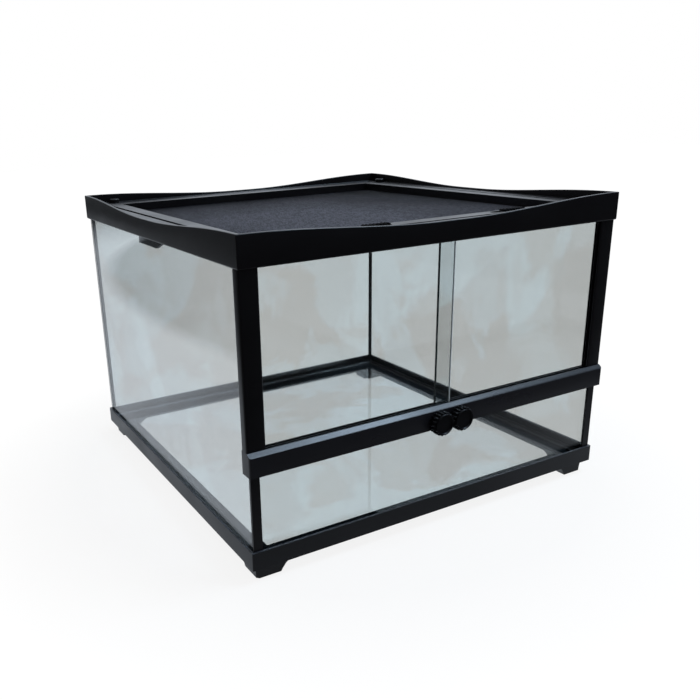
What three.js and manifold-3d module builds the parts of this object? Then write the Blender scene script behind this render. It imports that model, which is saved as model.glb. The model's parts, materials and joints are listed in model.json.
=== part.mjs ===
// Glass terrarium cabinet with sliding front doors and a lift-out screen lid.
// Millimetres, +Z up, the front faces -Y. The origin is at floor level, under the middle of the
// whole cabinet with its knobs.
import * as THREE from 'three';
import { mergeVertices } from 'three/addons/utils/BufferGeometryUtils.js';
import Module from 'manifold-3d';

const wasm = await Module();
wasm.setup();

// ---- Driving dimensions ------------------------------------------------------------------

// Whole cabinet
const baseSide = 450;
const cabinetHeight = 326;
const gap = 0.3; // running and fitting clearance between neighbours

// Base frame
const baseBottom = 14.2;
const baseTop = 32.6;
const skirtThickness = 2.5;
const ledgeThickness = 2.8;
const ledgeWidth = 26.5; // from the skirt's inner face to the opening
const footWidth = 26;
const footInset = 7; // skirt's outer face to the foot's outer face, at the floor
const footHeadWidth = 43;
const footFlare = 1.5; // how much further out the head's outer faces are than the sole's
const footChamfer = 2.5;

// Glass
const paneThickness = 4;
const paneInset = 3; // base frame's outer face to the panes' outer faces
const doorThickness = 3;
const doorPastMiddle = 6.6; // how far the front door's free edge passes the cabinet's middle
const rightDoorAjar = 3; // how far the right door stands from its post's channel
const sealSize = 4;

// Middle rail
const railBottom = 110.5;
const railHeight = 23.2;
const railSlopeHeight = 3.5;
const railProjection = 3.5; // in front of the base frame
const railLip = 0.7; // flat strip between the slope and the door track
const railFloor = 3.7;
const railCheek = 2.7;
const railEndRound = 2.6;

// Door tracks and posts
const trackLip = 1;
const trackBackLip = 1.3;
const trackWeb = 1;
const trackFloor = 1.2;
const upperPostWidth = 19.5;
const postInset = 1.5; // base frame's front to the upper posts' front
const postChannelDepth = 8.2;
const doorEngagement = 8; // how far the doors reach into the upper track
const lowerPostWidth = 9.7;

// Door locks
const knobSpacing = 25.3;
const locksOffset = 1.2; // both locks lie this far to the left of the middle
const knobDiameter = 25; // over the ribs
const knobRimDiameter = 22;
const knobRimWidth = 1.6; // along the knob's axis
const knobLength = 10.4;
const knobRibCount = 18;
const knobRibDepth = 1.5;
const knobDishDepth = 1.6;
const knobRim = 1.2;
const lockHeight = 8.5; // stem's axis above the rail's underside
const stemDiameter = 6;
const padThickness = 2;
const lockTravel = 1.25;

// Top frame
const topProjection = 0.5; // beyond the base frame on every side
const topFrameHeight = 29.2;
const rimThickness = 3.2;
const skirtRimRound = 1.8;
const rimAboveLedge = 11; // at the corners
const topLedgeWidth = 14.4;
const plateThickness = 2;
const supportDepth = 13; // ledge's top to the face that carries the lid
const supportReach = 16.9;
const runnerWidth = 2;
const rimScoop = 8.9; // how much lower the rim is at the middle of each side
const scoopFlat = 15; // half the length of the scoop's level floor
const scoopInset = 5.5; // from the corner to where the rim is level again
const scoopSteps = 6;
const plugDiameter = 13;
const plugHeight = 5;
const plugStemDiameter = 8;
const plugInset = 35.5; // along the side, from the top frame's corner

// Lid
const lidGap = 4.2;
const lidBarWidth = 15.7;
const lidWall = 2;
const netDepth = 9.4; // lid's top to the net's top
const netThickness = 1.2;
const netBorder = 8;
const netBar = 1.6;
const netGaps = 14; // along each side
const lidLockSpacing = 170;
const lidLockOffset = 11.5; // both slots lie this far to the right of the middle
const lidSlotLength = 46;
const lidSlotWidth = 9;
const lidLockLength = 34;
const lidLockRise = 2.2;
const lidLockFlange = 2;
const lidLockRibs = 7;
const lidLockRibPitch = 4.2;

// Cable ports
const portLength = 60;
const portWidth = 11;
const sliderLength = 78;
const sliderDrop = 9.3; // below the top frame
const sliderPlate = 1.8;
const sliderLeg = 3;
const sliderHook = 2;
const sliderRibs = 20;
const sliderRibDepth = 0.8;
const sliderSlant = 24;

const roundSteps = 24;

// ---- Places worked out from them ------------------------------------------------------------

const baseHalf = baseSide / 2;
const skirtInner = baseHalf - skirtThickness;
const ledgeTop = baseBottom + ledgeThickness;
const ledgeOpening = skirtInner - ledgeWidth;

const paneOuter = baseHalf - paneInset;
const paneInner = paneOuter - paneThickness;
const floorTop = ledgeTop + paneThickness;

const railTop = railBottom + railHeight;
const railFront = -baseHalf - railProjection;
const postFront = -baseHalf + postInset;

// The two door grooves, front to back, shared by the tracks, posts and doors.
const doorGroove = doorThickness + 2 * (gap - 0.1);
const frontGroove = postFront + trackBackLip;
const webFront = frontGroove + doorGroove;
const rearGroove = webFront + trackWeb;
const backLipFront = rearGroove + doorGroove;
const trackBack = backLipFront + trackBackLip;
const trackFront = frontGroove - trackLip;
const trackHalf = paneInner - 3 * gap;
const channelEnd = baseHalf - upperPostWidth + postChannelDepth;
const doorWidth = channelEnd - gap + doorPastMiddle;
const paneFront = frontGroove + 2.8;
const grooveFloor = railBottom + railFloor + trackFloor;

const topHalf = baseHalf + topProjection;
const topFrameBottom = cabinetHeight - topFrameHeight;
const scoopEnd = topHalf - scoopInset;
const plugPlace = topHalf - plugInset;
const topLedgeHeight = cabinetHeight - rimAboveLedge;
const rimInner = topHalf - rimThickness;
const wallInner = -trackFront;
const ledgeInner = rimInner - topLedgeWidth;
const plateBottom = topLedgeHeight - plateThickness;
const stepOuter = ledgeInner + plateThickness;
const supportTop = topLedgeHeight - supportDepth;
const supportBottom = supportTop - plateThickness;
const supportInner = ledgeInner - supportReach;
const runnerEdge = stepOuter + runnerWidth;
const paneTop = plateBottom - 0.5;

const lidOuter = ledgeInner - lidGap;
const lidInner = lidOuter - lidBarWidth;
const netTop = topLedgeHeight - netDepth;
const netBottom = netTop - netThickness;
const lidBarMiddle = lidOuter - lidBarWidth / 2;

const lockAxisHeight = railBottom + lockHeight;
const lockPlace = (side) => side * knobSpacing / 2 - locksOffset;
const doorFrontFace = frontGroove + (doorGroove - doorThickness) / 2;
const padFace = doorFrontFace - gap - lockTravel;
const padBack = padFace - padThickness;
const knobBack = railFront - lockTravel - 0.35;
const knobFront = knobBack - knobLength;

// ---- Geometry helpers -----------------------------------------------------------------------

// A boolean solid from a three.js geometry.
function solid(geometry) {
  const bare = geometry.clone();
  bare.deleteAttribute('normal');
  bare.deleteAttribute('uv');
  const merged = mergeVertices(bare, 1e-5);
  return new wasm.Manifold(new wasm.Mesh({
    numProp: 3,
    vertProperties: new Float32Array(merged.attributes.position.array),
    triVerts: new Uint32Array(merged.index.array),
  }));
}

// A three.js geometry from a boolean solid.
function fromSolid(body) {
  const mesh = body.getMesh();
  const positions = new Float32Array(mesh.numVert * 3);
  for (let index = 0; index < mesh.numVert; index += 1) {
    for (let axis = 0; axis < 3; axis += 1) {
      positions[index * 3 + axis] = mesh.vertProperties[index * mesh.numProp + axis];
    }
  }
  const geometry = new THREE.BufferGeometry();
  geometry.setAttribute('position', new THREE.BufferAttribute(positions, 3));
  geometry.setIndex(new THREE.BufferAttribute(new Uint32Array(mesh.triVerts), 1));
  return geometry;
}

function joined(first, ...others) {
  return others.reduce((body, other) => body.add(solid(other)), solid(first));
}

function block(x0, x1, y0, y1, z0, z1) {
  const geometry = new THREE.BoxGeometry(Math.abs(x1 - x0), Math.abs(y1 - y0), Math.abs(z1 - z0));
  return geometry.translate((x0 + x1) / 2, (y0 + y1) / 2, (z0 + z1) / 2);
}

function outline(points) {
  return new THREE.Shape(points.map(([u, v]) => new THREE.Vector2(u, v)));
}

function prism(shape, length) {
  return new THREE.ExtrudeGeometry(shape, { depth: length, bevelEnabled: false, curveSegments: 6 });
}

// An outline in (Y, Z), drawn out along X.
function alongX(shape, x0, x1) {
  const turn = new THREE.Matrix4().makeBasis(
    new THREE.Vector3(0, 1, 0), new THREE.Vector3(0, 0, 1), new THREE.Vector3(1, 0, 0));
  return prism(shape, x1 - x0).applyMatrix4(turn).translate(x0, 0, 0);
}

// An outline in (X, Z), drawn out along Y.
function alongY(shape, y0, y1) {
  const turn = new THREE.Matrix4().makeBasis(
    new THREE.Vector3(1, 0, 0), new THREE.Vector3(0, 0, 1), new THREE.Vector3(0, -1, 0));
  return prism(shape, y1 - y0).applyMatrix4(turn).translate(0, y1, 0);
}

// An outline in (X, Y), drawn up along Z.
function upward(shape, z0, z1) {
  return prism(shape, z1 - z0).translate(0, 0, z0);
}

// A round bar along Y.
function barAlongY(diameter, y0, y1, x, z) {
  const geometry = new THREE.CylinderGeometry(diameter / 2, diameter / 2, y1 - y0, roundSteps);
  return geometry.translate(x, (y0 + y1) / 2, z);
}

// An upright round bar.
function barUp(diameter, z0, z1, x, y) {
  const geometry = new THREE.CylinderGeometry(diameter / 2, diameter / 2, z1 - z0, roundSteps);
  return geometry.rotateX(Math.PI / 2).translate(x, y, (z0 + z1) / 2);
}

// A closed tube of quads through a loop of equal sections.
function tubeLoop(sections) {
  const count = sections.length;
  const width = sections[0].length;
  const positions = sections.flat(2);
  const indices = [];
  for (let station = 0; station < count; station += 1) {
    const here = station * width;
    const next = ((station + 1) % count) * width;
    for (let corner = 0; corner < width; corner += 1) {
      const after = (corner + 1) % width;
      indices.push(here + corner, next + corner, next + after);
      indices.push(here + corner, next + after, here + after);
    }
  }
  const geometry = new THREE.BufferGeometry();
  geometry.setAttribute('position', new THREE.Float32BufferAttribute(positions, 3));
  geometry.setIndex(indices);
  return geometry;
}

// A mitred frame: a profile of [distance out, height, scooped?] points carried round a rectangle.
// Stations lie along each side as distances from its middle, besides one at each corner.
function mitredFrame(halfX, halfY, profile, { middleY = 0, stations = [], lift = () => 0 } = {}) {
  const sections = [];
  for (let side = 0; side < 4; side += 1) {
    const length = side % 2 === 0 ? halfX : halfY;
    const reach = side % 2 === 0 ? halfY : halfX;
    const angle = side * Math.PI / 2;
    for (const station of [-length, ...stations]) {
      const share = station / length;
      sections.push(profile.map(([out, z, scooped]) => {
        const along = share * (length + out);
        const away = reach + out;
        const x = along * Math.cos(angle) + away * Math.sin(angle);
        const y = along * Math.sin(angle) - away * Math.cos(angle) + middleY;
        return [x, y, z + (scooped ? lift(station) : 0)];
      }));
    }
  }
  return tubeLoop(sections);
}

function mirroredX(geometry) {
  const mirrored = geometry.clone().applyMatrix4(new THREE.Matrix4().makeScale(-1, 1, 1));
  const order = mirrored.index.array;
  for (let index = 0; index < order.length; index += 3) {
    [order[index], order[index + 1]] = [order[index + 1], order[index]];
  }
  return mirrored;
}

// ---- Base -----------------------------------------------------------------------------------

function baseFrame() {
  const ring = mitredFrame(baseHalf, baseHalf, [
    [0, baseBottom],
    [0, baseTop],
    [skirtInner - baseHalf, baseTop],
    [skirtInner - baseHalf, ledgeTop],
    [ledgeOpening - baseHalf, ledgeTop],
    [ledgeOpening - baseHalf, baseBottom],
  ]);
  let body = solid(ring);
  for (const sideX of [-1, 1]) {
    for (const sideY of [-1, 1]) {
      body = body.add(solid(foot(sideX, sideY)));
    }
  }
  return fromSolid(body);
}

// A foot flares from its sole up to a wider head under the ledge. It is L-shaped from above, so that
// nothing of it shows inside the ledge.
function foot(sideX, sideY) {
  const outer = baseHalf - footInset;
  const levels = [
    { z: 0, share: 0 },
    { z: baseBottom * 0.2, share: 0.1 },
    { z: baseBottom * 0.55, share: 0.34 },
    { z: baseBottom * 0.82, share: 0.62 },
    { z: baseBottom, share: 0.96 },
    { z: ledgeTop - 0.5, share: 1 },
  ];
  const rings = levels.map(({ z, share }) => {
    const near = outer - footWidth - share * (footHeadWidth - footWidth - footFlare);
    const far = outer + share * footFlare;
    return { z, near, far };
  });
  const step = ledgeOpening + 0.5;
  const sides = 7;
  const positions = [];
  for (const { z, near, far } of rings) {
    const cut = far - footChamfer;
    positions.push(near, step, z, step, step, z, step, near, z, far, near, z);
    positions.push(far, cut, z, cut, far, z, near, far, z);
  }
  const indices = [0, 6, 1, 1, 6, 5, 1, 5, 4, 1, 4, 2, 2, 4, 3];
  for (let level = 0; level < rings.length - 1; level += 1) {
    for (let corner = 0; corner < sides; corner += 1) {
      const here = level * sides + corner;
      const after = level * sides + (corner + 1) % sides;
      indices.push(here, after, after + sides, here, after + sides, here + sides);
    }
  }
  const head = (rings.length - 1) * sides;
  for (const [a, b, c] of [[0, 1, 6], [1, 5, 6], [1, 4, 5], [1, 2, 4], [2, 3, 4]]) {
    indices.push(head + a, head + b, head + c);
  }
  const geometry = new THREE.BufferGeometry();
  geometry.setAttribute('position', new THREE.Float32BufferAttribute(positions, 3));
  geometry.setIndex(indices);
  return geometry.rotateZ(Math.atan2(sideY, sideX) - Math.PI / 4);
}

function floorGlass() {
  const halfX = paneInner - gap;
  return block(-halfX, halfX, paneFront + paneThickness + gap, paneInner - gap, ledgeTop, floorTop);
}

// A hollow-faced bead of sealant, as points from the corner that it fills.
function beadProfile() {
  const points = [[0, 0], [sealSize, 0]];
  for (const degrees of [30, 60]) {
    const turn = THREE.MathUtils.degToRad(degrees);
    points.push([sealSize * (1 - Math.sin(turn)), sealSize * (1 - Math.cos(turn))]);
  }
  points.push([0, sealSize]);
  return points;
}

function floorSeal() {
  const front = paneFront + paneThickness;
  const profile = beadProfile().map(([across, up]) => [-across, floorTop + up]);
  return mitredFrame(paneInner, (paneInner - front) / 2, profile.reverse(), {
    middleY: (paneInner + front) / 2,
  });
}

// ---- Glass box ------------------------------------------------------------------------------

function sideGlass() {
  return block(-paneOuter, -paneInner, paneFront, paneOuter, ledgeTop, paneTop);
}

function backGlass() {
  const halfX = paneInner - gap;
  return block(-halfX, halfX, paneInner, paneOuter, ledgeTop, paneTop);
}

function frontLowerGlass() {
  const halfX = paneInner - gap;
  return block(-halfX, halfX, paneFront, paneFront + paneThickness, ledgeTop, railBottom + 2);
}

// An upright bead in the back left corner, between the side pane and the back pane.
function backSeal() {
  const points = beadProfile().map(([across, along]) => [-paneInner + across, paneInner - along]);
  return mergeVertices(upward(outline(points), floorTop + sealSize + gap, paneTop));
}

// ---- Front ----------------------------------------------------------------------------------

function lowerPost() {
  const outer = skirtInner - gap;
  return block(-outer, -outer + lowerPostWidth, -skirtInner, paneFront - gap, ledgeTop, railBottom);
}

// A post wraps the side pane's front edge and has a channel for each door.
function upperPost() {
  const inner = -baseHalf + upperPostWidth;
  const shape = outline([
    [-baseHalf, postFront],
    [inner, postFront],
    [inner, frontGroove],
    [-channelEnd, frontGroove],
    [-channelEnd, webFront],
    [inner, webFront],
    [inner, rearGroove],
    [-channelEnd, rearGroove],
    [-channelEnd, backLipFront],
    [inner, backLipFront],
    [inner, trackBack],
    [-paneInner + gap, trackBack],
    [-paneInner + gap, paneFront - gap],
    [-paneOuter - gap, paneFront - gap],
    [-paneOuter - gap, trackBack],
    [-baseHalf, trackBack],
  ]);
  return upward(shape, railTop, topFrameBottom);
}

function midRail() {
  const slopeTop = trackFront - railLip;
  const slopeBottom = railTop - railSlopeHeight;
  const floor = railBottom + railFloor;
  const fascia = alongX(outline([
    [railFront, railBottom],
    [trackBack, railBottom],
    [trackBack, floor],
    [trackFront, floor],
    [trackFront, railTop],
    [slopeTop, railTop],
    [railFront, slopeBottom],
  ]), -baseHalf, baseHalf);
  const end = outline([
    [railFront, railBottom],
    [paneFront - gap, railBottom],
    [paneFront - gap, railTop],
    [slopeTop, railTop],
    [railFront, slopeBottom],
  ]);
  const endInner = trackHalf + gap;
  let rail = joined(
    fascia,
    alongX(end, endInner, baseHalf),
    alongX(end, -baseHalf, -endInner),
    block(baseHalf - railCheek, baseHalf, paneFront - 1, trackBack, railBottom, railTop),
    block(-baseHalf, railCheek - baseHalf, paneFront - 1, trackBack, railBottom, railTop),
  );
  for (const side of [-1, 1]) {
    const inner = side * (paneInner - gap);
    const outer = side * (paneOuter + gap);
    const slot = block(inner, outer, paneFront - gap, trackBack + 1, railBottom - 1, railTop + 1);
    const bore = barAlongY(
      stemDiameter + 2 * gap, railFront - 1, trackFront + 1, lockPlace(side), lockAxisHeight);
    rail = rail.subtract(solid(slot)).subtract(solid(bore));
  }
  const glassSlot = block(
    -paneInner, paneInner, paneFront - gap, paneFront + paneThickness + gap,
    railBottom - 1, railBottom + 2 + gap);
  return fromSolid(rail.subtract(solid(glassSlot)).intersect(solid(railPlan())));
}

// The rail's outline from above, with its two front corners rounded.
function railPlan() {
  const points = [[baseHalf, trackBack], [-baseHalf, trackBack]];
  for (const [side, first] of [[-1, 180], [1, 270]]) {
    for (let step = 0; step <= 4; step += 1) {
      const turn = THREE.MathUtils.degToRad(first + step * 22.5);
      points.push([
        side * (baseHalf - railEndRound) + railEndRound * Math.cos(turn),
        railFront + railEndRound + railEndRound * Math.sin(turn),
      ]);
    }
  }
  return upward(outline(points), railBottom - 1, railTop + 1);
}

// Three lips on a floor; drawn from the floor's outer face to the lips' ends.
function trackOutline(base, floor, tips, front = trackFront) {
  return outline([
    [front, base],
    [trackBack, base],
    [trackBack, tips],
    [backLipFront, tips],
    [backLipFront, floor],
    [rearGroove, floor],
    [rearGroove, tips],
    [webFront, tips],
    [webFront, floor],
    [frontGroove, floor],
    [frontGroove, tips],
    [front, tips],
  ]);
}

function lowerDoorTrack() {
  const shape = trackOutline(railBottom + railFloor, grooveFloor, railTop);
  let track = solid(alongX(shape, -trackHalf, trackHalf));
  for (const side of [-1, 1]) {
    const bore = barAlongY(
      stemDiameter + 2 * gap, trackFront - 1, frontGroove + 1, lockPlace(side), lockAxisHeight);
    track = track.subtract(solid(bore));
  }
  return fromSolid(track);
}

function upperDoorTrack() {
  const shape = trackOutline(plateBottom, plateBottom - trackFloor, topFrameBottom + gap);
  return alongX(shape, -trackHalf, trackHalf);
}

function door(groove, x0) {
  const front = groove + (doorGroove - doorThickness) / 2;
  const top = topFrameBottom + doorEngagement;
  return block(x0, x0 + doorWidth, front, front + doorThickness, grooveFloor + gap, top);
}

// ---- Door locks -----------------------------------------------------------------------------

// A ribbed knob with a dished face, on the stem that runs into the rail.
function lockKnob() {
  const radius = knobDiameter / 2;
  const rimRadius = knobRimDiameter / 2;
  const root = radius - knobRibDepth;
  const points = [];
  for (let rib = 0; rib < knobRibCount; rib += 1) {
    for (const [share, reach] of [[0, root], [0.18, radius], [0.5, radius], [0.68, root]]) {
      const turn = (rib + share) / knobRibCount * 2 * Math.PI;
      points.push([reach * Math.cos(turn), reach * Math.sin(turn)]);
    }
  }
  const ribbed = solid(alongY(outline(points), knobFront + knobRimWidth, knobBack));
  const rim = solid(barAlongY(knobRimDiameter, knobFront, knobBack - 1, 0, 0));
  const head = ribbed.add(rim);
  const stem = solid(barAlongY(stemDiameter, knobBack - 1, padBack - gap, 0, 0));
  const dish = new THREE.CylinderGeometry(
    rimRadius - knobRim, rimRadius - 2 * knobRim, 2 * knobDishDepth, roundSteps);
  dish.rotateX(Math.PI).translate(0, knobFront, 0);
  return fromSolid(head.add(stem).subtract(solid(dish)));
}

function lockPad() {
  return barAlongY(stemDiameter, padBack, padFace, 0, 0);
}

// ---- Top frame ------------------------------------------------------------------------------

// How much the rim rises above its lowest height, at a distance from the side's middle.
function rimLift(along) {
  const share = THREE.MathUtils.clamp(
    (Math.abs(along) - scoopFlat) / (scoopEnd - scoopFlat), 0, 1);
  return rimScoop * (1 - Math.cos(Math.PI * share)) / 2;
}

function scoopStations() {
  const stations = [];
  for (let step = 0; step <= scoopSteps; step += 1) {
    stations.push(scoopFlat + (scoopEnd - scoopFlat) * step / scoopSteps);
  }
  return [...stations.map((along) => -along).reverse(), ...stations];
}

function topFrame() {
  const rimLow = cabinetHeight - rimScoop;
  const chamfer = skirtRimRound * 0.4;
  const ring = mitredFrame(topHalf, topHalf, [
    [wallInner - topHalf, topFrameBottom],
    [-skirtRimRound, topFrameBottom],
    [-chamfer, topFrameBottom + chamfer],
    [0, topFrameBottom + skirtRimRound],
    [0, rimLow - chamfer, true],
    [-chamfer, rimLow, true],
    [-rimThickness, rimLow, true],
    [-rimThickness, topLedgeHeight],
    [ledgeInner - topHalf, topLedgeHeight],
    [ledgeInner - topHalf, supportTop],
    [supportInner - topHalf, supportTop],
    [supportInner - topHalf, supportBottom],
    [runnerEdge - topHalf, supportBottom],
    [runnerEdge - topHalf, supportTop],
    [stepOuter - topHalf, supportTop],
    [stepOuter - topHalf, plateBottom],
    [wallInner - topHalf, plateBottom],
  ], { stations: scoopStations(), lift: rimLift });
  let frame = solid(ring);
  for (const { x, y } of plugPlaces()) {
    const hole = barUp(plugStemDiameter + 2 * gap, plateBottom - 1, topLedgeHeight + 1, x, y);
    frame = frame.subtract(solid(hole));
  }
  for (const side of [-1, 1]) {
    const port = block(
      side * (ledgeInner - gap), side * (ledgeInner - gap - portWidth),
      -portLength / 2, portLength / 2, supportBottom - 1, supportTop + 1);
    frame = frame.subtract(solid(port));
  }
  return fromSolid(frame);
}

// The plugs' places, turned a quarter from one side of the ledge to the next.
function plugPlaces() {
  const middle = rimInner - topLedgeWidth / 2;
  return [
    { name: 'front_left', x: -middle, y: -plugPlace },
    { name: 'front_right', x: plugPlace, y: -middle },
    { name: 'back_right', x: middle, y: plugPlace },
    { name: 'back_left', x: -plugPlace, y: middle },
  ];
}

function cornerPlug() {
  const radius = plugDiameter / 2;
  const stem = plugStemDiameter / 2;
  const profile = [
    [0, -plateThickness],
    [stem, -plateThickness],
    [stem, 0],
    [radius, 0],
    [radius, plugHeight - 1],
    [radius - 1, plugHeight],
    [0, plugHeight],
  ];
  const points = profile.map(([out, up]) => new THREE.Vector2(out, up));
  return new THREE.LatheGeometry(points, roundSteps).rotateX(Math.PI / 2);
}

// ---- Lid ------------------------------------------------------------------------------------

function lidFrame() {
  const ring = mitredFrame(lidOuter, lidOuter, [
    [-lidWall, supportTop],
    [0, supportTop],
    [0, topLedgeHeight],
    [-lidBarWidth, topLedgeHeight],
    [-lidBarWidth, netTop],
    [lidWall - lidBarWidth, netTop],
    [lidWall - lidBarWidth, plateBottom],
    [-lidWall, plateBottom],
  ]);
  let frame = solid(ring);
  for (const middle of lidLockMiddles()) {
    const slot = upward(roundedBar(lidSlotLength, lidSlotWidth), plateBottom - 1, topLedgeHeight + 1);
    frame = frame.subtract(solid(slot.translate(middle, -lidBarMiddle, 0)));
  }
  return fromSolid(frame);
}

function lidLockMiddles() {
  return [lidLockOffset - lidLockSpacing / 2, lidLockOffset + lidLockSpacing / 2];
}

// A straight bar with half-round ends.
function roundedBar(length, width) {
  const radius = width / 2;
  const reach = length / 2 - radius;
  const shape = new THREE.Shape();
  shape.moveTo(-reach, -radius);
  shape.lineTo(reach, -radius);
  shape.absarc(reach, 0, radius, -Math.PI / 2, Math.PI / 2, false);
  shape.lineTo(-reach, radius);
  shape.absarc(-reach, 0, radius, Math.PI / 2, 3 * Math.PI / 2, false);
  return shape;
}

// A square net in one flat sheet, with a plain border under the lid's bars.
function lidMesh() {
  const half = lidInner + netBorder;
  const field = lidInner - netBar / 2;
  const pitch = (2 * field + netBar) / netGaps;
  const lines = [-half];
  for (let index = 0; index < netGaps; index += 1) {
    const start = -field + index * pitch;
    lines.push(start, start + pitch - netBar);
  }
  lines.push(half);
  const cells = lines.length - 1;
  const open = (column, row) => column % 2 === 1 && row % 2 === 1;
  const inside = (column, row) => column >= 0 && row >= 0 && column < cells && row < cells;
  const filled = (column, row) => inside(column, row) && !open(column, row);
  const positions = [];
  for (const z of [netBottom, netTop]) {
    for (const y of lines) {
      for (const x of lines) {
        positions.push(x, y, z);
      }
    }
  }
  const layer = lines.length * lines.length;
  const point = (column, row, top) => top * layer + row * lines.length + column;
  const indices = [];
  const quad = (a, b, c, d) => indices.push(a, b, c, a, c, d);
  for (let row = 0; row < cells; row += 1) {
    for (let column = 0; column < cells; column += 1) {
      if (!filled(column, row)) {
        continue;
      }
      const corners = [[column, row], [column + 1, row], [column + 1, row + 1], [column, row + 1]];
      const neighbours = [[column, row - 1], [column + 1, row], [column, row + 1], [column - 1, row]];
      quad(...corners.map(([i, j]) => point(i, j, 1)));
      quad(...corners.map(([i, j]) => point(i, j, 0)).reverse());
      neighbours.forEach(([i, j], edge) => {
        if (!filled(i, j)) {
          const [startI, startJ] = corners[edge];
          const [endI, endJ] = corners[(edge + 1) % 4];
          quad(point(startI, startJ, 0), point(endI, endJ, 0), point(endI, endJ, 1),
            point(startI, startJ, 1));
        }
      });
    }
  }
  const geometry = new THREE.BufferGeometry();
  geometry.setAttribute('position', new THREE.Float32BufferAttribute(positions, 3));
  geometry.setIndex(indices);
  return geometry;
}

function lidMeshRetainer() {
  const outer = -lidWall - gap;
  const inner = lidWall - lidBarWidth + 0.5;
  return mitredFrame(lidOuter, lidOuter, [
    [inner, supportTop],
    [outer, supportTop],
    [outer, netBottom],
    [inner, netBottom],
  ]);
}

// A ribbed slide in the lid's slot, kept there by a flange under the bar's top.
function lidLock() {
  const width = lidSlotWidth - 2 * gap;
  const deck = topLedgeHeight + lidLockRise - 0.7;
  const flangeTop = plateBottom - gap;
  const flangeHalf = lidBarWidth / 2 - lidWall - gap;
  const body = upward(roundedBar(lidLockLength, width), flangeTop - 1, deck);
  const flange = block(
    -lidLockLength / 2 - 2, lidLockLength / 2 + 2, -flangeHalf, flangeHalf,
    flangeTop - lidLockFlange, flangeTop);
  let lock = joined(body, flange);
  const first = 2.5 - lidLockLength / 2;
  for (let rib = 0; rib < lidLockRibs; rib += 1) {
    const x = first + rib * lidLockRibPitch;
    const ridge = block(x, x + lidLockRibPitch * 0.55, 0.6 - width / 2, width / 2 - 0.6,
      deck - 1, topLedgeHeight + lidLockRise);
    lock = lock.add(solid(ridge));
  }
  return fromSolid(lock);
}

// ---- Cable-port slider ----------------------------------------------------------------------

// Rides on the runner behind the lid's support: a shutter under the port and a ribbed grip.
function cablePortSlider() {
  const legInner = runnerEdge + 2 * gap;
  const legOuter = legInner + sliderLeg;
  const grip = topFrameBottom - sliderDrop;
  const shutterTop = supportBottom - gap;
  const shutterInner = ledgeInner - portWidth - 1;
  const hookBottom = supportTop + gap;
  const hookTop = hookBottom + sliderHook;
  const half = sliderLength / 2;
  const section = outline([
    [-shutterInner, shutterTop],
    [-legInner, shutterTop],
    [-legInner, hookBottom],
    [-stepOuter - gap, hookBottom],
    [-stepOuter - gap, hookTop],
    [-legOuter, hookTop],
    [-legOuter, grip],
    [-legInner, grip],
    [-legInner, shutterTop - sliderPlate],
    [-shutterInner, shutterTop - sliderPlate],
  ]);
  let slider = solid(alongY(section, -half, half));
  const pitch = sliderLength / sliderRibs;
  for (let rib = 0; rib < sliderRibs; rib += 1) {
    const y = -half + (rib + 0.25) * pitch;
    const ridge = block(
      -legOuter - sliderRibDepth, 0.5 - legOuter, y, y + pitch / 2, grip, hookTop);
    slider = slider.add(solid(ridge));
  }
  const slant = alongX(outline([
    [-half - 1, grip - 1],
    [sliderSlant - half, grip - 1],
    [sliderSlant - half, grip],
    [-half, grip + sliderDrop],
    [-half - 1, grip + sliderDrop],
  ]), -legOuter - 2, 1 - legInner);
  return fromSolid(slider.subtract(solid(slant)));
}

// ---- Materials and assembly -----------------------------------------------------------------

const blackPlastic = { color: 0x17161a, roughness: 0.42, metalness: 0 };
const clearGlass = { color: 0xb4c2c6, roughness: 0.05, metalness: 0, transparent: true, opacity: 0.3 };
const blackSealant = { color: 0x0e0e10, roughness: 0.6, metalness: 0 };
const netWire = { color: 0x44474f, roughness: 0.5, metalness: 0.6 };
const rubber = { color: 0x1c1c1e, roughness: 0.85, metalness: 0 };

const cabinet = new THREE.Group();
cabinet.position.y = -(knobFront + topHalf) / 2;

function place(name, geometry, look, x = 0, y = 0, z = 0) {
  const mesh = new THREE.Mesh(geometry, new THREE.MeshStandardMaterial(look));
  mesh.name = name;
  mesh.position.set(x, y, z);
  cabinet.add(mesh);
}

function placePair(name, geometry, look) {
  place(`left_${name}`, geometry, look);
  place(`right_${name}`, mirroredX(geometry), look);
}

place('base_frame', baseFrame(), blackPlastic);
place('floor_glass', floorGlass(), clearGlass);
place('floor_seal', floorSeal(), blackSealant);

placePair('glass', sideGlass(), clearGlass);
place('back_glass', backGlass(), clearGlass);
place('front_lower_glass', frontLowerGlass(), clearGlass);
const backLeftSeal = backSeal();
place('back_left_seal', backLeftSeal, blackSealant);
place('back_right_seal', mirroredX(backLeftSeal), blackSealant);

placePair('lower_post', lowerPost(), blackPlastic);
placePair('upper_post', mergeVertices(upperPost()), blackPlastic);
place('mid_rail', midRail(), blackPlastic);
place('lower_door_track', lowerDoorTrack(), blackPlastic);
place('upper_door_track', upperDoorTrack(), blackPlastic);
place('left_door', door(frontGroove, -channelEnd + gap), clearGlass);
place('right_door', door(rearGroove, channelEnd - gap - rightDoorAjar - doorWidth), clearGlass);
for (const [name, side] of [['left', -1], ['right', 1]]) {
  place(`${name}_lock_knob`, lockKnob(), blackPlastic, lockPlace(side), 0, lockAxisHeight);
  place(`${name}_lock_pad`, lockPad(), rubber, lockPlace(side), 0, lockAxisHeight);
}

place('top_frame', topFrame(), blackPlastic);
for (const { name, x, y } of plugPlaces()) {
  place(`${name}_corner_plug`, cornerPlug(), blackPlastic, x, y, topLedgeHeight);
}
placePair('cable_port_slider', cablePortSlider(), blackPlastic);

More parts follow.
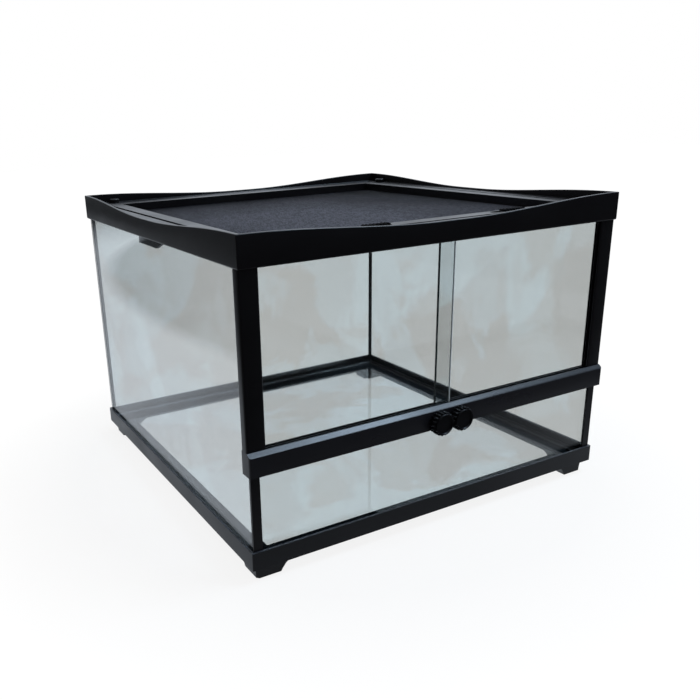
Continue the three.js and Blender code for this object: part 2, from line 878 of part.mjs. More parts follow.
place('lid_frame', lidFrame(), blackPlastic);
place('lid_mesh', lidMesh(), netWire);
place('lid_mesh_retainer', lidMeshRetainer(), blackPlastic);
const lidLockRest = lidSlotLength / 2 - lidLockLength / 2 - gap;
lidLockMiddles().forEach((middle, index) => {
  const name = ['left', 'right'][index];
  place(`${name}_lid_lock`, lidLock(), blackPlastic, middle + lidLockRest, -lidBarMiddle);
});

export default cabinet;
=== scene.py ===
import json
import math
import bmesh
import bpy
from mathutils import Matrix, Vector


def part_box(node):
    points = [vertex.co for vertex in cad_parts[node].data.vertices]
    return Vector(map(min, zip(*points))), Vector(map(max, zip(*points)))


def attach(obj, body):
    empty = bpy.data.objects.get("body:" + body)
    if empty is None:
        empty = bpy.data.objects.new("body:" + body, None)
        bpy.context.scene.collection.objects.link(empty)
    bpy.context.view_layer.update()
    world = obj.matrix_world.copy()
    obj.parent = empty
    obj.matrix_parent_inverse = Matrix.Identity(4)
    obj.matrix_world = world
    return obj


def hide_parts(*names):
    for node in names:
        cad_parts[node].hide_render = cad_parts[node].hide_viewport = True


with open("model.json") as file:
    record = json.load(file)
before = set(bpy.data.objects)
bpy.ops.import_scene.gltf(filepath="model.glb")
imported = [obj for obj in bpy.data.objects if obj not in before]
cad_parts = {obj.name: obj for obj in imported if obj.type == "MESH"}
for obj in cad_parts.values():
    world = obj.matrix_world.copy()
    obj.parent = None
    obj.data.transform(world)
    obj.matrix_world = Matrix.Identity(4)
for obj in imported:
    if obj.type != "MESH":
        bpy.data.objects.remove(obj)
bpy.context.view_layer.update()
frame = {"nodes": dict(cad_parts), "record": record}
nodes = frame["nodes"]
bodyOf = {node: body for body, names in frame["record"]["behaviour"]["bodies"].items() for node in names}
mm = 0.001


# The camera stands where the photograph was taken from.
cameraSetup = {
    "place": (-0.48367, -0.76836, 0.41303),
    "yaw": 28.054,  # degrees, turned right of the front's normal
    "pitch": 19.156,  # degrees down
    "roll": -2.087,
    "focal": 757.7,  # in pixels of the 700-pixel photograph
    "centre": (279.65, 380.42),  # where the lens axis meets it
    "frame": 700,
    "sensor": 36,  # millimetres
    "nearest": 0.01,
}


def aimCamera(setup):
    yaw, pitch, roll = (math.radians(setup[key]) for key in ("yaw", "pitch", "roll"))
    forward = Vector((math.sin(yaw) * math.cos(pitch), math.cos(yaw) * math.cos(pitch), -math.sin(pitch)))
    level = Vector((math.cos(yaw), -math.sin(yaw), 0))
    up = level.cross(forward)
    right = math.cos(roll) * level + math.sin(roll) * up
    top = math.cos(roll) * up - math.sin(roll) * level
    data = bpy.data.cameras.new("photoCamera")
    data.sensor_width = setup["sensor"]
    data.lens = setup["focal"] / setup["frame"] * data.sensor_width
    data.shift_x = 0.5 - setup["centre"][0] / setup["frame"]
    data.shift_y = setup["centre"][1] / setup["frame"] - 0.5
    data.clip_start = setup["nearest"]
    camera = bpy.data.objects.new("photoCamera", data)
    facing = Matrix((right, top, -forward)).transposed().to_4x4()
    camera.matrix_world = Matrix.Translation(setup["place"]) @ facing
    bpy.context.scene.collection.objects.link(camera)
    bpy.context.scene.camera = camera


aimCamera(cameraSetup)
bpy.context.scene.view_settings.view_transform = "Standard"
print("camera placed")


# Each socket is (name, direction, type, default).
def newTree(name, sockets, kind="ShaderNodeTree"):
    tree = bpy.data.node_groups.new(name, kind)
    for label, direction, socketType, default in sockets:
        socket = tree.interface.new_socket(label, in_out=direction, socket_type=socketType)
        if default is not None:
            socket.default_value = default
    return tree, tree.nodes.new("NodeGroupInput"), tree.nodes.new("NodeGroupOutput")


def addNode(tree, kind, values=None, **settings):
    node = tree.nodes.new(kind)
    for key, value in settings.items():
        setattr(node, key, value)
    for key, value in (values or {}).items():
        node.inputs[key].default_value = value
    return node


def noiseNode(tree, coordinates, scale, detail=3, stretch=None):
    if stretch:
        mapping = addNode(tree, "ShaderNodeMapping", {"Scale": stretch})
        tree.links.new(coordinates, mapping.inputs["Vector"])
        coordinates = mapping.outputs["Vector"]
    noise = addNode(tree, "ShaderNodeTexNoise", {"Scale": scale, "Detail": detail})
    tree.links.new(coordinates, noise.inputs["Vector"])
    return noise.outputs["Fac"]


# The ranges in the dictionaries read: from low, from high, to low, to high.
def rangeNode(tree, source, low, high, outLow, outHigh):
    node = addNode(tree, "ShaderNodeMapRange", {1: low, 2: high, 3: outLow, 4: outHigh})
    tree.links.new(source, node.inputs[0])
    return node.outputs[0]


# Each input takes either a fixed value or the output of another node.
def feedInputs(tree, node, values):
    for index, value in values.items():
        if isinstance(value, bpy.types.NodeSocket):
            tree.links.new(value, node.inputs[index])
        else:
            node.inputs[index].default_value = value


def mathNode(tree, operation, first, second):
    node = addNode(tree, "ShaderNodeMath", operation=operation)
    feedInputs(tree, node, {0: first, 1: second})
    return node.outputs[0]


def mixColor(tree, factor, first, second):
    node = addNode(tree, "ShaderNodeMix", data_type="RGBA")
    feedInputs(tree, node, {0: factor, 6: first, 7: second})
    return node.outputs[2]


def mixFloat(tree, factor, first, second):
    node = addNode(tree, "ShaderNodeMix", data_type="FLOAT")
    feedInputs(tree, node, {0: factor, 2: first, 3: second})
    return node.outputs[0]


# Moulded plastic: fine spark-eroded grain, faint flow marks, and on what faces up a lighter colour that is
# partly dust and partly painted light.
moulded = {
    "grain": 1500, "flow": 14, "flowStretch": (1, 1, 2.5), "specks": 420,  # noise scales: higher is finer
    "topFacing": (0.2, 0.95, 0, 1), "speckle": (0.42, 0.7, 0.35, 1), "flowSheen": (0.3, 0.7, -0.05, 0.07),
    "bumpDepth": 0.06,  # millimetres
}


def makeMouldedFinish():
    tree, given, made = newTree("mouldedFinish", [
        ("Plastic", "INPUT", "NodeSocketColor", (0.02, 0.02, 0.022, 1)),
        ("Top Dust And Light", "INPUT", "NodeSocketColor", (0.2, 0.21, 0.23, 1)),
        ("Top Dust And Light Amount", "INPUT", "NodeSocketFloat", 0.15),
        ("Roughness", "INPUT", "NodeSocketFloat", 0.38),
        ("Grain Depth", "INPUT", "NodeSocketFloat", 0.12),
        ("Color", "OUTPUT", "NodeSocketColor", None),
        ("Roughness", "OUTPUT", "NodeSocketFloat", None),
        ("Normal", "OUTPUT", "NodeSocketVector", None),
    ])
    spot = addNode(tree, "ShaderNodeTexCoord").outputs["Object"]
    grain = noiseNode(tree, spot, moulded["grain"], 2)
    flow = noiseNode(tree, spot, moulded["flow"], 4, moulded["flowStretch"])
    specks = noiseNode(tree, spot, moulded["specks"], 5)
    facing = addNode(tree, "ShaderNodeSeparateXYZ")
    tree.links.new(addNode(tree, "ShaderNodeNewGeometry").outputs["Normal"], facing.inputs[0])
    # Painted light from above, mixed with dust: faces that turn up take the lighter colour.
    upward = rangeNode(tree, facing.outputs["Z"], *moulded["topFacing"])
    settledAndTopLit = mathNode(tree, "MULTIPLY", upward, rangeNode(tree, specks, *moulded["speckle"]))
    dustAndTopLight = mathNode(tree, "MULTIPLY", settledAndTopLit, given.outputs["Top Dust And Light Amount"])
    color = mixColor(tree, dustAndTopLight, given.outputs["Plastic"], given.outputs["Top Dust And Light"])
    tree.links.new(color, made.inputs["Color"])
    spread = rangeNode(tree, flow, *moulded["flowSheen"])
    tree.links.new(mathNode(tree, "ADD", given.outputs["Roughness"], spread), made.inputs["Roughness"])
    bump = addNode(tree, "ShaderNodeBump", {"Distance": moulded["bumpDepth"] * mm})
    tree.links.new(grain, bump.inputs["Height"])
    tree.links.new(given.outputs["Grain Depth"], bump.inputs["Strength"])
    tree.links.new(bump.outputs["Normal"], made.inputs["Normal"])
    return tree


# Handling marks on glass: cloudy wiped patches and a few streaks.
wipes = {
    "patches": 7.5, "detail": 6, "roughness": 0.55, "distortion": 0.6, "cloud": (0.47, 0.53, 0, 1),
    "streaks": 30, "streakStretch": (1, 1, 0.25), "streakDepth": (0.55, 0.75, 0, 0.6),
}


def makeWipeMarks():
    tree, given, made = newTree("wipeMarks", [
        ("Clean", "INPUT", "NodeSocketColor", (0.75, 0.8, 0.82, 1)),
        ("Clouded", "INPUT", "NodeSocketColor", (0.7, 0.73, 0.74, 1)),
        ("Patch Scale", "INPUT", "NodeSocketFloat", 9),
        ("Color", "OUTPUT", "NodeSocketColor", None),
        ("Mask", "OUTPUT", "NodeSocketFloat", None),
    ])
    spot = addNode(tree, "ShaderNodeTexCoord").outputs["Object"]
    patches = addNode(tree, "ShaderNodeTexNoise", {
        "Detail": wipes["detail"], "Roughness": wipes["roughness"], "Distortion": wipes["distortion"]})
    tree.links.new(spot, patches.inputs["Vector"])
    tree.links.new(given.outputs["Patch Scale"], patches.inputs["Scale"])
    cloud = rangeNode(tree, patches.outputs["Fac"], *wipes["cloud"])
    wiped = noiseNode(tree, spot, wipes["streaks"], 3, wipes["streakStretch"])
    mask = mathNode(tree, "MAXIMUM", cloud, rangeNode(tree, wiped, *wipes["streakDepth"]))
    color = mixColor(tree, mask, given.outputs["Clean"], given.outputs["Clouded"])
    tree.links.new(color, made.inputs["Color"])
    tree.links.new(mask, made.inputs["Mask"])
    return tree


mouldedFinish = makeMouldedFinish()
wipeMarks = makeWipeMarks()


def newMaterial(name):
    material = bpy.data.materials.new(name)
    material.use_nodes = True
    return material, material.node_tree, material.node_tree.nodes["Principled BSDF"]


def addGroup(tree, group, values):
    node = addNode(tree, "ShaderNodeGroup", node_tree=group)
    for key, value in values.items():
        node.inputs[key].default_value = value
    return node


def plasticMaterial(name):
    specular, values = plastics[name]
    material, tree, surface = newMaterial(name)
    finish = addGroup(tree, mouldedFinish, values)
    tree.links.new(finish.outputs["Color"], surface.inputs["Base Color"])
    tree.links.new(finish.outputs["Roughness"], surface.inputs["Roughness"])
    tree.links.new(finish.outputs["Normal"], surface.inputs["Normal"])
    surface.inputs["Specular IOR Level"].default_value = specular
    return material


# Each black plastic: how strongly it shines, and its values for the moulded finish, whose top colour is
# dust and painted light.
plastics = {
    "frameBlack": (0.46, {
        "Plastic": (0.003, 0.0024, 0.0034, 1), "Top Dust And Light": (0.1, 0.11, 0.13, 1), "Top Dust And Light Amount": 0.06,
        "Roughness": 0.34, "Grain Depth": 0.1}),
    # The base's heavy top colour is mostly painted light on its ledge, with some dust.
    "baseBlack": (0.5, {
        "Plastic": (0.007, 0.007, 0.0085, 1), "Top Dust And Light": (0.16, 0.18, 0.22, 1), "Top Dust And Light Amount": 0.4,
        "Roughness": 0.36, "Grain Depth": 0.16}),
    "railBlack": (0.47, {
        "Plastic": (0.0085, 0.0082, 0.0105, 1), "Top Dust And Light": (0.2, 0.24, 0.3, 1), "Top Dust And Light Amount": 0.1,
        "Roughness": 0.3, "Grain Depth": 0.8}),
    "lockBlack": (0.12, {
        "Plastic": (0.0016, 0.0013, 0.0022, 1), "Top Dust And Light": (0.05, 0.05, 0.055, 1), "Top Dust And Light Amount": 0.02,
        "Roughness": 0.6, "Grain Depth": 0.2}),
    "knobBlack": (0.26, {
        "Plastic": (0.0016, 0.0013, 0.0022, 1), "Top Dust And Light": (0.05, 0.05, 0.055, 1), "Top Dust And Light Amount": 0.02,
        "Roughness": 0.34, "Grain Depth": 0.1}),
}
frameBlack = plasticMaterial("frameBlack")
baseBlack = plasticMaterial("baseBlack")
railBlack = plasticMaterial("railBlack")
lockBlack = plasticMaterial("lockBlack")
knobBlack = plasticMaterial("knobBlack")


# Glass lets lamplight through to the inside: shadow rays see a thin tinted film.
glass = {
    "bend": 1.5, "haze": (0, 1, 0, 0.03),
    # The colours of each kind: clean, clouded and as a film to the shadow rays.
    # One glass in three copies: its own tint, made lighter or darker for each pane as painted light and
    # shade.
    "litClearGlass": ((0.9, 0.93, 0.94, 1), (0.86, 0.87, 0.87, 1), (0.92, 0.94, 0.94, 1)),
    "doorGlass": ((0.84, 0.88, 0.89, 1), (0.8, 0.81, 0.805, 1), (0.88, 0.91, 0.91, 1)),
    "shadedTankGlass": ((0.62, 0.68, 0.7, 1), (0.59, 0.61, 0.605, 1), (0.8, 0.84, 0.84, 1)),
}


def glassMaterial(name):
    clean, clouded, filmColor = glass[name]
    material, tree, surface = newMaterial(name)
    marks = addGroup(tree, wipeMarks, {"Clean": clean, "Clouded": clouded, "Patch Scale": wipes["patches"]})
    tree.links.new(marks.outputs["Color"], surface.inputs["Base Color"])
    haze = rangeNode(tree, marks.outputs["Mask"], *glass["haze"])
    tree.links.new(haze, surface.inputs["Roughness"])
    surface.inputs["IOR"].default_value = glass["bend"]
    surface.inputs["Transmission Weight"].default_value = 1
    film = addNode(tree, "ShaderNodeBsdfTransparent", {"Color": filmColor})
    rays = addNode(tree, "ShaderNodeLightPath")
    mix = addNode(tree, "ShaderNodeMixShader")
    output = next(node for node in tree.nodes if node.type == "OUTPUT_MATERIAL")
    tree.links.new(rays.outputs["Is Shadow Ray"], mix.inputs["Fac"])
    tree.links.new(surface.outputs["BSDF"], mix.inputs[1])
    tree.links.new(film.outputs["BSDF"], mix.inputs[2])
    tree.links.new(mix.outputs["Shader"], output.inputs["Surface"])
    return material


litClearGlass = glassMaterial("litClearGlass")
doorGlass = glassMaterial("doorGlass")
shadedTankGlass = glassMaterial("shadedTankGlass")


# Sealant, rubber, and the painted shade and painted highlight on the panes' ends and edges: one colour, a
# little mottled, with a fine grain.
plain = {
    "darker": 0.75, "mottle": (0.35, 0.65, 0, 1), "contrast": (0.3, 0.7), "sheen": 0.06,
    "bumpDepth": 0.1,  # millimetres
}


def plainMaterial(name, color, roughness, grainScale, grainDepth):
    material, tree, surface = newMaterial(name)
    spot = addNode(tree, "ShaderNodeTexCoord").outputs["Object"]
    grain = noiseNode(tree, spot, grainScale, 4)
    darker = tuple(plain["darker"] * value for value in color[:3]) + (1,)
    mottled = mixColor(tree, rangeNode(tree, grain, *plain["mottle"]), color, darker)
    tree.links.new(mottled, surface.inputs["Base Color"])
    least, most = roughness - plain["sheen"], roughness + plain["sheen"]
    tree.links.new(rangeNode(tree, grain, *plain["contrast"], least, most), surface.inputs["Roughness"])
    bump = addNode(tree, "ShaderNodeBump", {"Distance": plain["bumpDepth"] * mm, "Strength": grainDepth})
    tree.links.new(grain, bump.inputs["Height"])
    tree.links.new(bump.outputs["Normal"], surface.inputs["Normal"])
    return material


# Colour, roughness, scale of the grain and its depth.
sealantBlack = plainMaterial("sealantBlack", (0.007, 0.007, 0.008, 1), 0.32, 180, 0.5)
padRubber = plainMaterial("padRubber", (0.02, 0.02, 0.02, 1), 0.8, 900, 0.6)
# Painted shade and painted highlight for the panes' ends and ground edges.
edgeShadeDark = plainMaterial("edgeShadeDark", (0.012, 0.02, 0.022, 1), 0.22, 300, 0.2)
edgeHighlightPale = plainMaterial("edgeHighlightPale", (0.62, 0.68, 0.69, 1), 0.3, 300, 0.2)


# The screen's wires: a grey colour over the middle, partly dust and partly painted light, fading toward the
# corners to a dark bare colour as painted shade.
wireDustAndShade = {
    "dustiestLitSpot": (-0.05, -0.05, 0.306), "fadeToCornerShade": (0.08, 0.27, 0, 1), "drift": (0.3, 0.7, -0.03, 0.03),
    "mottle": (0.38, 0.62, 0, 0.5), "litDust": (0.215, 0.225, 0.275, 1), "bare": (0.022, 0.022, 0.028, 1),
    "shade": (0.018, 0.019, 0.024, 1), "roughness": 0.62, "specular": 0.3,
    "driftScale": 9, "mottleScale": 260,
}


def dustyShadedWire():
    material, tree, surface = newMaterial("screenWire")
    spot = addNode(tree, "ShaderNodeTexCoord").outputs["Object"]
    place = addNode(tree, "ShaderNodeVectorMath", operation="DISTANCE")
    tree.links.new(spot, place.inputs[0])
    place.inputs[1].default_value = wireDustAndShade["dustiestLitSpot"]
    drift = rangeNode(tree, noiseNode(tree, spot, wireDustAndShade["driftScale"], 3), *wireDustAndShade["drift"])
    edge = mathNode(tree, "ADD", place.outputs["Value"], drift)
    # Painted shade: the wires darken with distance from the lit middle.
    clean = rangeNode(tree, edge, *wireDustAndShade["fadeToCornerShade"])
    litDust = mixColor(tree, clean, wireDustAndShade["litDust"], wireDustAndShade["bare"])
    mottle = rangeNode(tree, noiseNode(tree, spot, wireDustAndShade["mottleScale"], 3), *wireDustAndShade["mottle"])
    tree.links.new(mixColor(tree, mottle, litDust, wireDustAndShade["shade"]), surface.inputs["Base Color"])
    surface.inputs["Roughness"].default_value = wireDustAndShade["roughness"]
    surface.inputs["Specular IOR Level"].default_value = wireDustAndShade["specular"]
    return material


screenWire = dustyShadedWire()
print("materials made")


# Cleaning of the solids' meshes and rounding of their corners, in millimetres and degrees.
cleaning = {"mergeGap": 0.002, "flatAngle": 0.6, "weldGap": 0.001, "cornerReach": 0.2, "cornerSteps": 4}


def linkObject(name, mesh):
    piece = bpy.data.objects.new(name, mesh)
    bpy.context.scene.collection.objects.link(piece)
    return piece


def meshFrom(name, shape):
    mesh = bpy.data.meshes.new(name)
    shape.to_mesh(mesh)
    shape.free()
    return mesh


def bakeModifiers(piece):
    baked = bpy.data.meshes.new_from_object(piece.evaluated_get(bpy.context.evaluated_depsgraph_get()))
    piece.modifiers.clear()
    piece.data = baked


# Rounds the edges that turn by more than the given angle, and keeps the flats flat.
def roundEdges(piece, width, steps=2, angle=38, weld=True):
    bevel = piece.modifiers.new("edges", "BEVEL")
    bevel.width = width
    bevel.segments = steps
    bevel.limit_method = "ANGLE"
    bevel.angle_limit = math.radians(angle)
    bevel.harden_normals = True
    if weld:
        piece.modifiers.new("weld", "WELD").merge_threshold = cleaning["weldGap"] * mm
    for polygon in piece.data.polygons:
        polygon.use_smooth = True
    piece.data.set_sharp_from_angle(angle=math.radians(angle))
    bakeModifiers(piece)


def mergedCopy(node):
    shape = bmesh.new()
    shape.from_mesh(nodes[node].data)
    bmesh.ops.remove_doubles(shape, verts=shape.verts, dist=cleaning["mergeGap"] * mm)
    flat = math.radians(cleaning["flatAngle"])
    bmesh.ops.dissolve_limit(shape, angle_limit=flat, verts=shape.verts, edges=shape.edges)
    return shape


def dress(piece, node, material):
    if material is not None:
        piece.data.materials.clear()
        piece.data.materials.append(material)
    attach(piece, bodyOf[node])
    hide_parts(node)


# Rounds the upright edges that stand at the four corners of the node's box.
def roundUprights(shape, node, radius):
    low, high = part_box(node)
    chosen = []
    for edge in shape.edges:
        first, second = (vertex.co for vertex in edge.verts)
        upright = abs(first.z - second.z) > 0.9 * (first - second).length
        gaps = [min(abs(first[axis] - low[axis]), abs(first[axis] - high[axis])) for axis in (0, 1)]
        if upright and max(gaps) < cleaning["cornerReach"] * mm:
            chosen.append(edge)
    steps = cleaning["cornerSteps"]
    bmesh.ops.bevel(shape, geom=chosen, offset=radius, segments=steps, affect="EDGES", profile=0.5)


def refined(node, material, width, steps=2, angle=38, corner=0):
    shape = mergedCopy(node)
    if corner:
        roundUprights(shape, node, corner)
    piece = linkObject(node + "_finished", meshFrom(node + "_finished", shape))
    # The upper posts aren't welded, because their mesh would open where the edges of a notch meet.
    roundEdges(piece, width, steps, angle, "upper_post" not in node)
    dress(piece, node, material)


# Black mouldings: the plastic, the rounding of all edges and that of the upright corners, in millimetres.
mouldings = {
    "base_frame": (baseBlack, 0.8, 1.6),
    "left_lower_post": (frameBlack, 0.5, 0),
    "right_lower_post": (frameBlack, 0.5, 0),
    "left_upper_post": (frameBlack, 0.4, 2),
    "right_upper_post": (frameBlack, 0.4, 2),
    "mid_rail": (railBlack, 0.5, 0),
    "lower_door_track": (frameBlack, 0.2, 0),
    "upper_door_track": (frameBlack, 0.2, 0),
    "lid_frame": (frameBlack, 0.6, 7),
    "lid_mesh_retainer": (frameBlack, 0.3, 5),
    "left_cable_port_slider": (frameBlack, 0.25, 0),
    "right_cable_port_slider": (frameBlack, 0.25, 0),
    "front_left_corner_plug": (frameBlack, 0.5, 0),
    "front_right_corner_plug": (frameBlack, 0.5, 0),
    "back_left_corner_plug": (frameBlack, 0.5, 0),
    "back_right_corner_plug": (frameBlack, 0.5, 0),
}
for node, (material, width, corner) in mouldings.items():
    refined(node, material, width * mm, corner=corner * mm)
print("mouldings finished")


# Top frame: a mitred ring whose rim dips at the middle of each side.
topFrame = {
    "rimThickness": 3.2, "rimRound": 0.8, "innerRound": 0.6, "foot": 2.3, "footRound": 1.8,
    "ledgeDrop": 11, "ledgeWidth": 14.4, "plate": 2, "support": 13, "supportReach": 16.9, "runner": 2,
    "dip": 8.9, "dipFlat": 15, "dipEnd": 220, "stations": 44, "cornerRound": 1.4, "cornerAngle": 50,
}


def rimLift(along):
    share = (abs(along) - topFrame["dipFlat"]) / (topFrame["dipEnd"] - topFrame["dipFlat"])
    return topFrame["dip"] * (1 - math.cos(math.pi * min(max(share, 0), 1))) / 2


def arcPoints(centreOut, centreUp, radius, start, end, steps):
    turns = [math.radians(start + (end - start) * step / steps) for step in range(steps + 1)]
    return [(centreOut + radius * math.cos(turn), centreUp + radius * math.sin(turn)) for turn in turns]


def makeTopFrame():
    low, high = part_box("top_frame")
    half = (high[0] - low[0]) / 2 / mm
    middleY = (low[1] + high[1]) / 2 / mm
    bottom, top = low[2] / mm, high[2] / mm
    sizes = topFrame
    ledge = top - sizes["ledgeDrop"]
    plate = ledge - sizes["plate"]
    support = ledge - sizes["support"]
    ledgeIn = -sizes["rimThickness"] - sizes["ledgeWidth"]
    reach = ledgeIn - sizes["supportReach"]
    step = ledgeIn + sizes["plate"]
    runner = step + sizes["runner"]
    under = support - sizes["plate"]
    rimLow = top - sizes["dip"]
    fixed = [(-sizes["foot"], bottom)]
    fixed += arcPoints(-sizes["footRound"], bottom + sizes["footRound"], sizes["footRound"], -90, 0, 4)
    rim = arcPoints(-sizes["rimRound"], rimLow - sizes["rimRound"], sizes["rimRound"], 0, 90, 3)
    inner = sizes["innerRound"]
    rim += arcPoints(-sizes["rimThickness"] + inner, rimLow - inner, inner, 90, 180, 3)
    inside = [
        (-sizes["rimThickness"], ledge), (ledgeIn, ledge), (ledgeIn, support), (reach, support),
        (reach, under), (runner, under), (runner, support), (step, support), (step, plate),
        (-sizes["foot"], plate)]
    profile = [(out, up, False) for out, up in fixed] + [(out, up, True) for out, up in rim]
    profile += [(out, up, False) for out, up in inside]
    shape = bmesh.new()
    rings = []
    for side in range(4):
        angle = side * math.pi / 2
        for station in range(sizes["stations"]):
            along = half * (2 * station / sizes["stations"] - 1)
            ring = []
            for out, up, lifted in profile:
                run = along / half * (half + out)
                away = half + out
                x = run * math.cos(angle) + away * math.sin(angle)
                y = run * math.sin(angle) - away * math.cos(angle) + middleY
                z = up + (rimLift(along) if lifted else 0)
                ring.append(shape.verts.new((x * mm, y * mm, z * mm)))
            rings.append(ring)
    for index, ring in enumerate(rings):
        following = rings[(index + 1) % len(rings)]
        for corner in range(len(profile)):
            after = (corner + 1) % len(profile)
            shape.faces.new((ring[corner], ring[after], following[after], following[corner]))
    bmesh.ops.recalc_face_normals(shape, faces=shape.faces)
    piece = linkObject("topFrameRing", meshFrom("topFrameRing", shape))
    roundEdges(piece, sizes["cornerRound"] * mm, 2, sizes["cornerAngle"])
    dress(piece, "top_frame", frameBlack)


makeTopFrame()
print("top frame made")


def vectorNode(tree, x=0.0, y=0.0, z=0.0):
    node = addNode(tree, "ShaderNodeCombineXYZ")
    feedInputs(tree, node, {0: x, 1: y, 2: z})
    return node.outputs[0]


# Sets copies of a shape in a row.
def lineOf(tree, count, start, offset, instance):
    line = addNode(tree, "GeometryNodeMeshLine", mode="OFFSET")
    tree.links.new(count, line.inputs["Count"])
    tree.links.new(start, line.inputs["Start Location"])
    tree.links.new(offset, line.inputs["Offset"])
    scatter = addNode(tree, "GeometryNodeInstanceOnPoints")
    tree.links.new(line.outputs["Mesh"], scatter.inputs["Points"])
    tree.links.new(instance, scatter.inputs["Instance"])
    return scatter.outputs["Instances"]


# Turns the copies into one mesh and paints it.
def finishTree(tree, geometry, material, made):
    real = addNode(tree, "GeometryNodeRealizeInstances")
    paint = addNode(tree, "GeometryNodeSetMaterial")
    paint.inputs["Material"].default_value = material
    tree.links.new(geometry, real.inputs["Geometry"])
    tree.links.new(real.outputs["Geometry"], paint.inputs["Geometry"])
    tree.links.new(paint.outputs["Geometry"], made.inputs["Geometry"])


# Runs a geometry node tree on a new piece and keeps the mesh that it makes.
def growPiece(name, tree, values, base=None):
    piece = linkObject(name, base or bpy.data.meshes.new(name))
    modifier = piece.modifiers.new("grow", "NODES")
    modifier.node_group = tree
    for item in tree.interface.items_tree:
        if item.item_type == "SOCKET" and item.in_out == "INPUT" and item.name in values:
            modifier[item.identifier] = values[item.name]
    bakeModifiers(piece)
    return piece


# Lid screen: two layers of crossing wires, whose ends are tucked under the ring.
screen = {"pitch": 2.9, "wire": 0.62, "border": 8, "tuck": 3, "layerLift": 0.45}


def makeScreenTree():
    tree, given, made = newTree("screenWires", [
        ("Count", "INPUT", "NodeSocketInt", 100),
        ("Pitch", "INPUT", "NodeSocketFloat", 0.002),
        ("Wire", "INPUT", "NodeSocketFloat", 0.0004),
        ("Length", "INPUT", "NodeSocketFloat", 0.4),
        ("Centre", "INPUT", "NodeSocketVector", None),
        ("Geometry", "OUTPUT", "NodeSocketGeometry", None),
    ], "GeometryNodeTree")
    long, thin, pitch = (given.outputs[label] for label in ("Length", "Wire", "Pitch"))
    gaps = mathNode(tree, "SUBTRACT", given.outputs["Count"], 1)
    reach = mathNode(tree, "MULTIPLY", gaps, pitch)
    start = mathNode(tree, "MULTIPLY", reach, -0.5)
    lift = mathNode(tree, "MULTIPLY", thin, screen["layerLift"])
    join = addNode(tree, "GeometryNodeJoinGeometry")
    for level, across in ((1, False), (-1, True)):
        bar = addNode(tree, "GeometryNodeMeshCube")
        size = vectorNode(tree, long, thin, thin) if across else vectorNode(tree, thin, long, thin)
        tree.links.new(size, bar.inputs["Size"])
        height = mathNode(tree, "MULTIPLY", lift, level)
        first = vectorNode(tree, 0.0, start, height) if across else vectorNode(tree, start, 0.0, height)
        offset = vectorNode(tree, 0.0, pitch) if across else vectorNode(tree, pitch)
        row = lineOf(tree, given.outputs["Count"], first, offset, bar.outputs["Mesh"])
        tree.links.new(row, join.inputs["Geometry"])
    place = addNode(tree, "GeometryNodeTransform")
    tree.links.new(join.outputs["Geometry"], place.inputs["Geometry"])
    tree.links.new(given.outputs["Centre"], place.inputs["Translation"])
    finishTree(tree, place.outputs["Geometry"], screenWire, made)
    return tree


def makeScreen():
    low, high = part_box("lid_mesh")
    field = high[0] - low[0] - 2 * screen["border"] * mm + 2 * screen["tuck"] * mm
    wire = screen["wire"] * mm
    centre = Vector((0, (low[1] + high[1]) / 2, high[2] - wire))
    piece = growPiece("lidScreen", makeScreenTree(), {
        "Count": int(field / (screen["pitch"] * mm)), "Pitch": screen["pitch"] * mm, "Wire": wire,
        "Length": field, "Centre": centre})
    dress(piece, "lid_mesh", None)


makeScreen()
print("screen woven")


# Lock knobs: a turned core with a crown of grip ribs.
knob = {
    "ribs": 18, "ribRadius": 1.25, "ribSides": 10, "ribInset": 1.7, "ribEnd": 0.4,
    "coreDrop": 1.6, "coreFront": 1.8, "head": 10.4, "stem": 3, "backChamfer": 0.8,
    "rimDrop": 1.5, "rim": 1.2, "rimFlat": 0.75, "rimBack": 1.4, "rimChamfer": (0.3, 0.35),
    "dish": 1.6, "dishSlope": 0.6, "dishMouth": 0.3, "turns": 60, "smoothAngle": 32,
}


def makeCrownTree():
    tree, given, made = newTree("knobCrown", [
        ("Core", "INPUT", "NodeSocketGeometry", None),
        ("Ribs", "INPUT", "NodeSocketInt", 16),
        ("Rib Radius", "INPUT", "NodeSocketFloat", 0.0013),
        ("Rib Length", "INPUT", "NodeSocketFloat", 0.009),
        ("Circle", "INPUT", "NodeSocketFloat", 0.0097),
        ("Centre", "INPUT", "NodeSocketVector", None),
        ("Geometry", "OUTPUT", "NodeSocketGeometry", None),
    ], "GeometryNodeTree")
    circle = addNode(tree, "GeometryNodeMeshCircle")
    tree.links.new(given.outputs["Ribs"], circle.inputs["Vertices"])
    tree.links.new(given.outputs["Circle"], circle.inputs["Radius"])
    bar = addNode(tree, "GeometryNodeMeshCylinder", {"Vertices": knob["ribSides"]})
    tree.links.new(given.outputs["Rib Radius"], bar.inputs["Radius"])
    tree.links.new(given.outputs["Rib Length"], bar.inputs["Depth"])
    smooth = addNode(tree, "GeometryNodeSetShadeSmooth")
    tree.links.new(bar.outputs["Mesh"], smooth.inputs["Geometry"])
    scatter = addNode(tree, "GeometryNodeInstanceOnPoints")
    tree.links.new(circle.outputs["Mesh"], scatter.inputs["Points"])
    tree.links.new(smooth.outputs["Geometry"], scatter.inputs["Instance"])
    place = addNode(tree, "GeometryNodeTransform", {"Rotation": (math.pi / 2, 0, 0)})
    tree.links.new(scatter.outputs["Instances"], place.inputs["Geometry"])
    tree.links.new(given.outputs["Centre"], place.inputs["Translation"])
    join = addNode(tree, "GeometryNodeJoinGeometry")
    tree.links.new(given.outputs["Core"], join.inputs["Geometry"])
    tree.links.new(place.outputs["Geometry"], join.inputs["Geometry"])
    finishTree(tree, join.outputs["Geometry"], knobBlack, made)
    return tree


